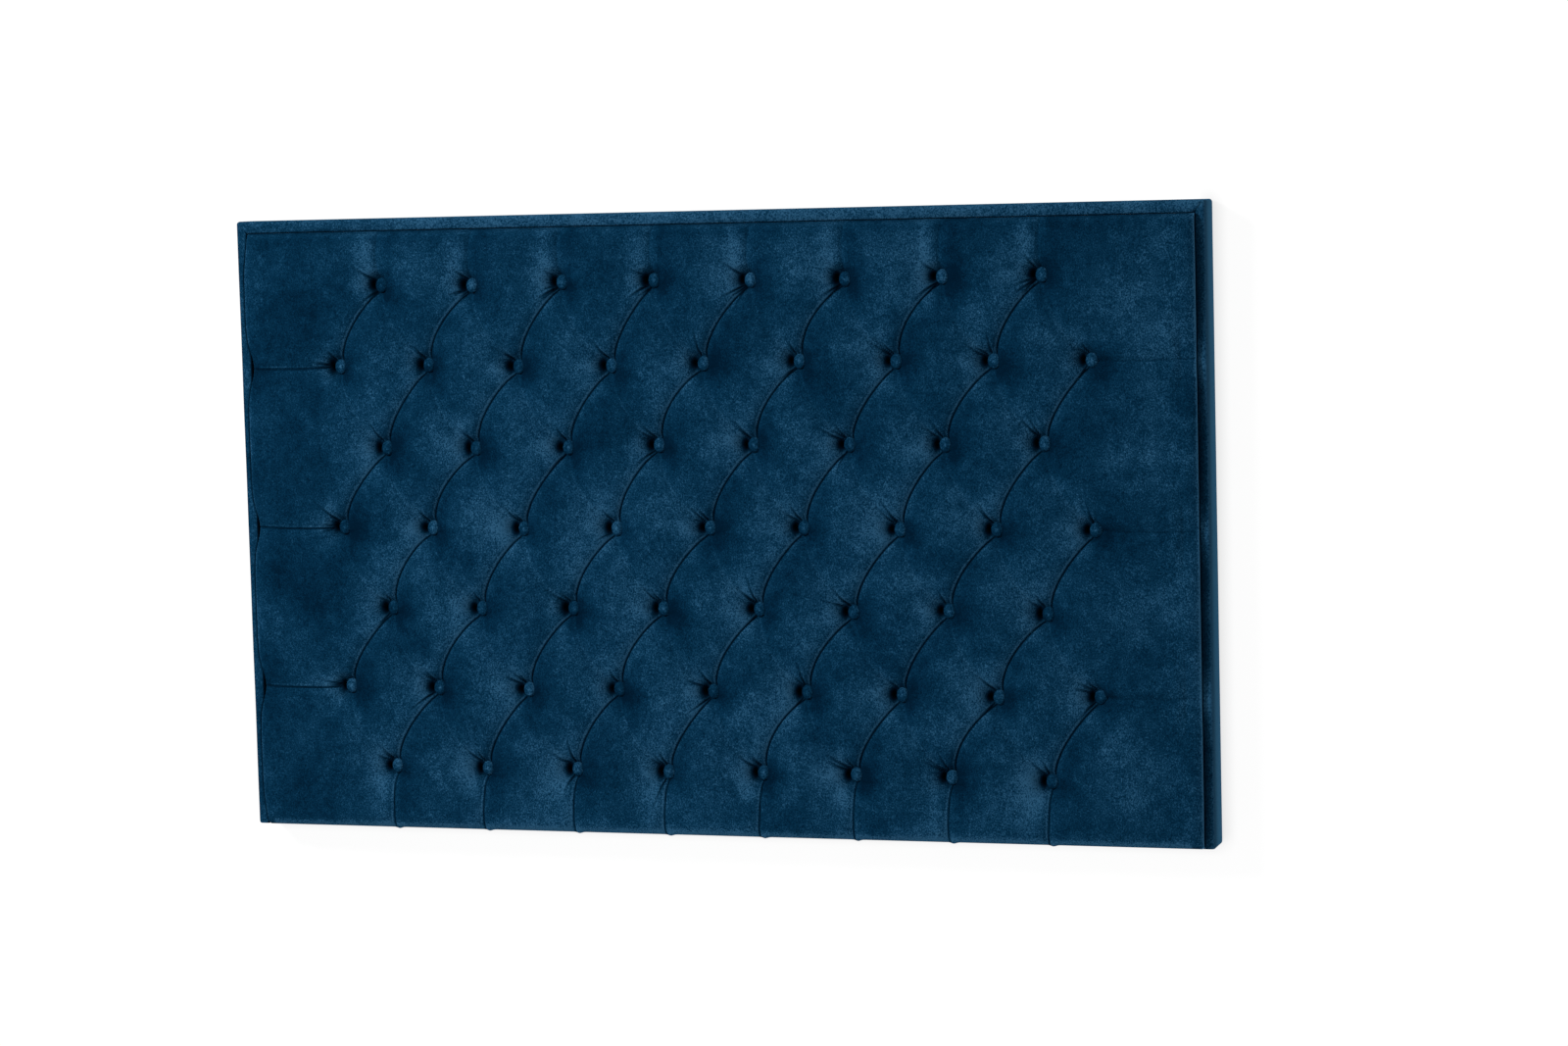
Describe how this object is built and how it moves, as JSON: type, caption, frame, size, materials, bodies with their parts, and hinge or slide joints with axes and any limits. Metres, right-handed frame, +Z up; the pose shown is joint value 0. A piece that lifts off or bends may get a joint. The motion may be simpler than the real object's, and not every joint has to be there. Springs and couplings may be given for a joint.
{
  "type": "headboard",
  "caption": "Wall-hung bed headboard with a deep-buttoned velvet panel inside a narrow upholstered rim on its top and sides, hung on two keyhole plates.",
  "frame": {"origin": "on the wall plane, midway between the entry holes of the two keyhole hanger plates", "axes": "+X along the board's width, to the right seen from the front; +Y from the front into the wall; +Z up"},
  "size_m": [1.6, 0.0837, 0.99],
  "materials": {
    "blue_velvet": "crushed velvet with a short pile, dark petrol blue",
    "foam": "open-cell upholstery foam, pale cream",
    "birch_plywood": "unfinished plywood",
    "pine_batten": "planed, unfinished softwood",
    "beech": "plain sawn hardwood",
    "twine": "waxed upholstery twine",
    "black_lining": "non-woven dust cover, matt black",
    "zinc_steel": "zinc-plated pressed steel",
    "screw_steel": "zinc-plated screw steel",
    "grey_felt": "pressed felt"
  },
  "bodies": {
    "root": {"bottom_rail": "pine_batten", "bottom_wrap": "blue_velvet", "bumper_pads": "grey_felt", "dust_cover": "black_lining", "foam_slab": "foam", "hanger_blocks": "beech", "hanger_plates": "zinc_steel", "hanger_screws": "screw_steel", "lap_screws": "screw_steel", "left_middle_stile": "pine_batten", "left_rim_cover": "blue_velvet", "left_rim_strip": "pine_batten", "left_stile": "pine_batten", "plywood_board": "birch_plywood", "right_middle_stile": "pine_batten", "right_rim_cover": "blue_velvet", "right_rim_strip": "pine_batten", "right_stile": "pine_batten", "rim_screws": "screw_steel", "top_rail": "pine_batten", "top_rim_cover": "blue_velvet", "top_rim_strip": "pine_batten", "tuft_buttons": "blue_velvet", "tuft_twines": "twine", "tufted_pad": "blue_velvet", "twine_toggles": "beech"}
  },
  "joints": []
}
